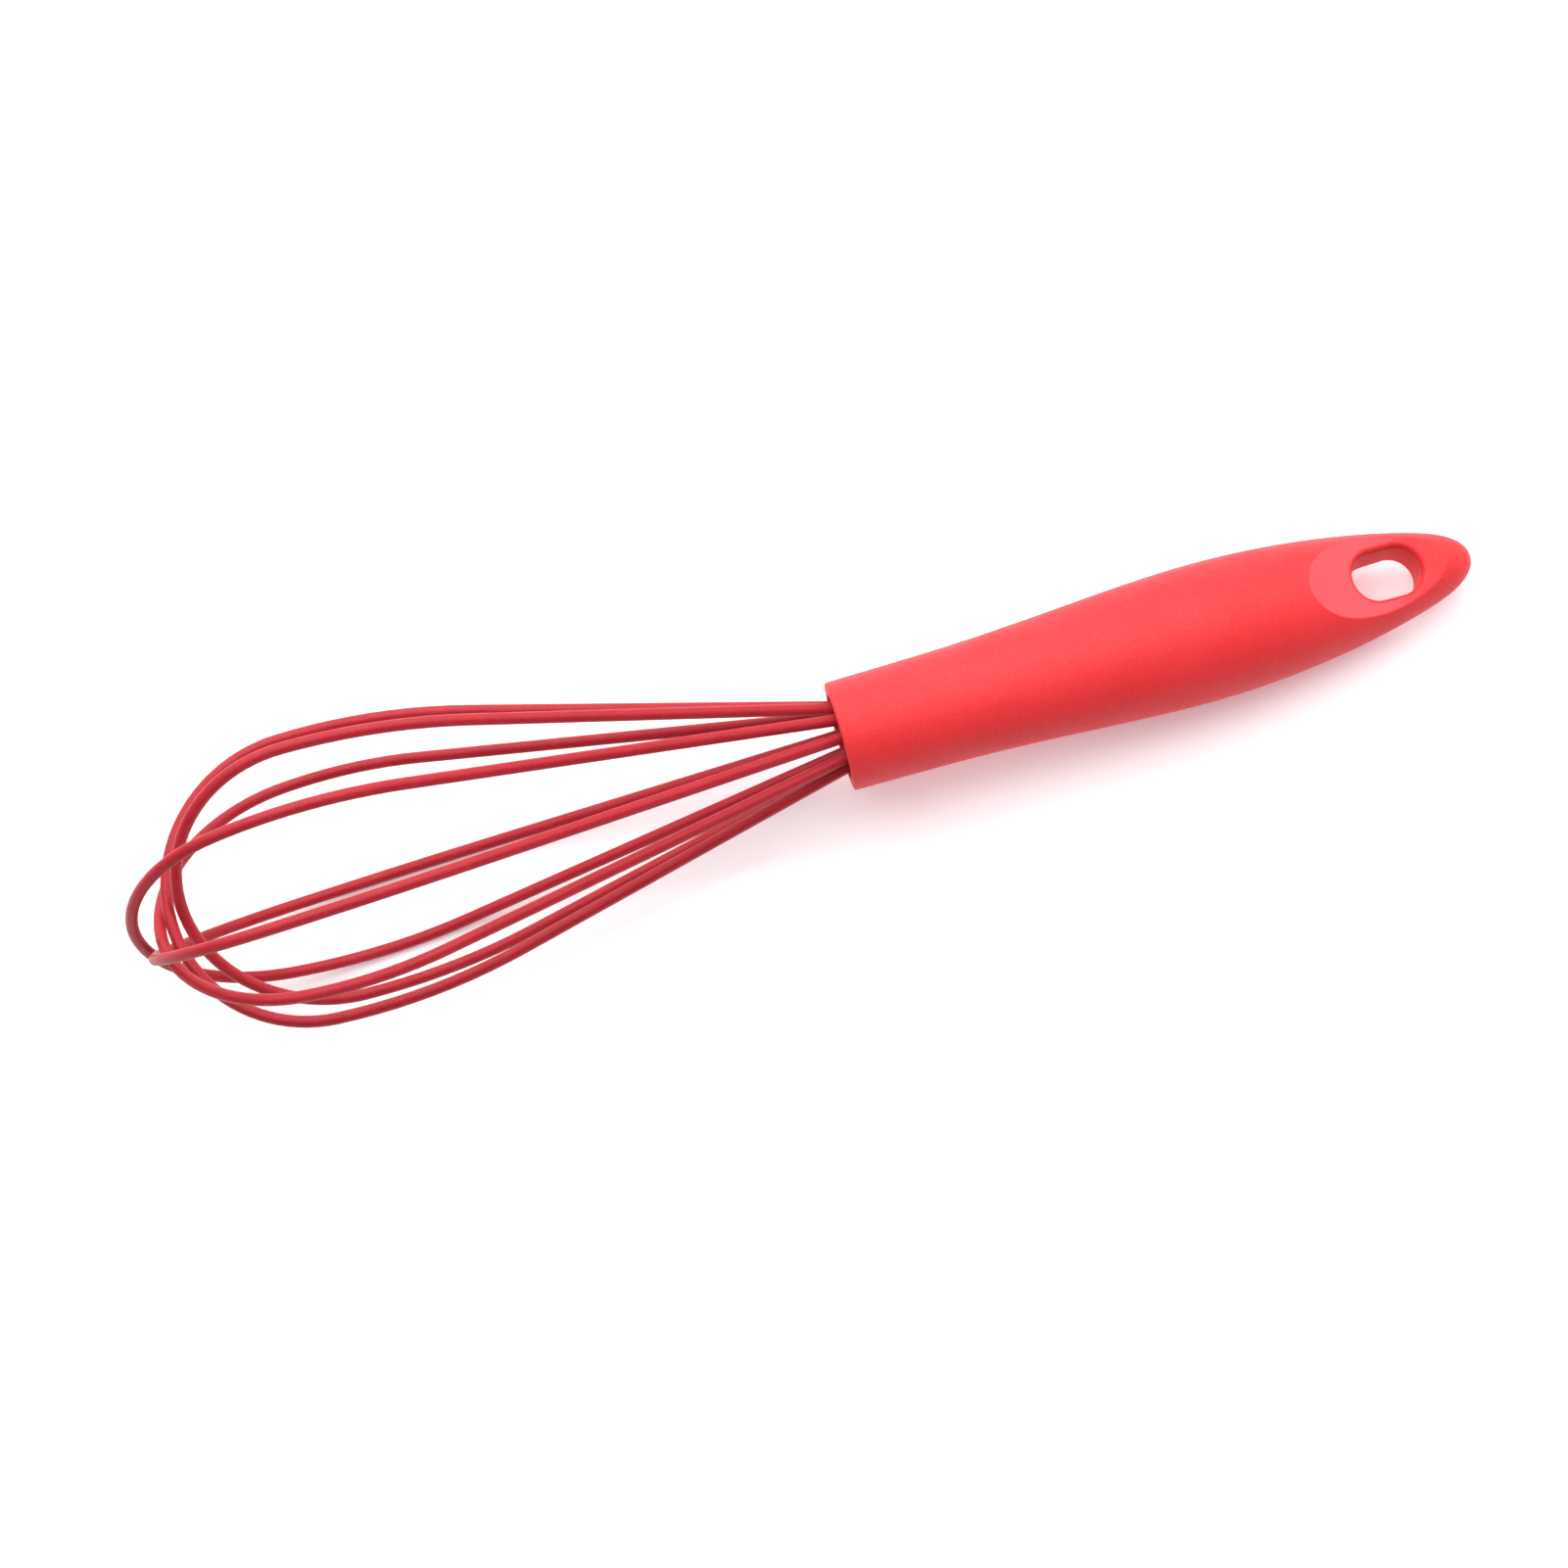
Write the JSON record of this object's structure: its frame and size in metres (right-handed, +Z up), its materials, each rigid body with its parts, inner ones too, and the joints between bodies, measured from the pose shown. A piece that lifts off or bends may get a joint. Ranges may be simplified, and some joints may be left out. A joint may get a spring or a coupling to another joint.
{
  "type": "balloon whisk",
  "caption": "Balloon whisk with crossed silicone-coated wire loops held in the mouth of a hollow moulded handle that has a hang hole in its tail.",
  "frame": {"origin": "centre of the whole whisk's box, on the surface that it lies on", "axes": "+X along the whisk towards the hanging end of the handle, +Z up from the surface it lies on, +Y to the left of +X"},
  "size_m": [0.2514, 0.0556, 0.0558],
  "materials": {
    "handle_plastic": "fine spark-eroded texture, satin",
    "plug_plastic": "satin",
    "cast_resin": "clear amber, as poured",
    "spring_steel": "drawn",
    "silicone": "satin silicone"
  },
  "bodies": {
    "root": {"handle": "handle_plastic", "wire_plug": "plug_plastic", "potting": "cast_resin", "steel_wire_1": "spring_steel", "silicone_sleeve_1": "silicone", "steel_wire_2": "spring_steel", "silicone_sleeve_2": "silicone", "steel_wire_3": "spring_steel", "silicone_sleeve_3": "silicone", "steel_wire_4": "spring_steel", "silicone_sleeve_4": "silicone", "steel_wire_5": "spring_steel", "silicone_sleeve_5": "silicone"}
  },
  "joints": []
}
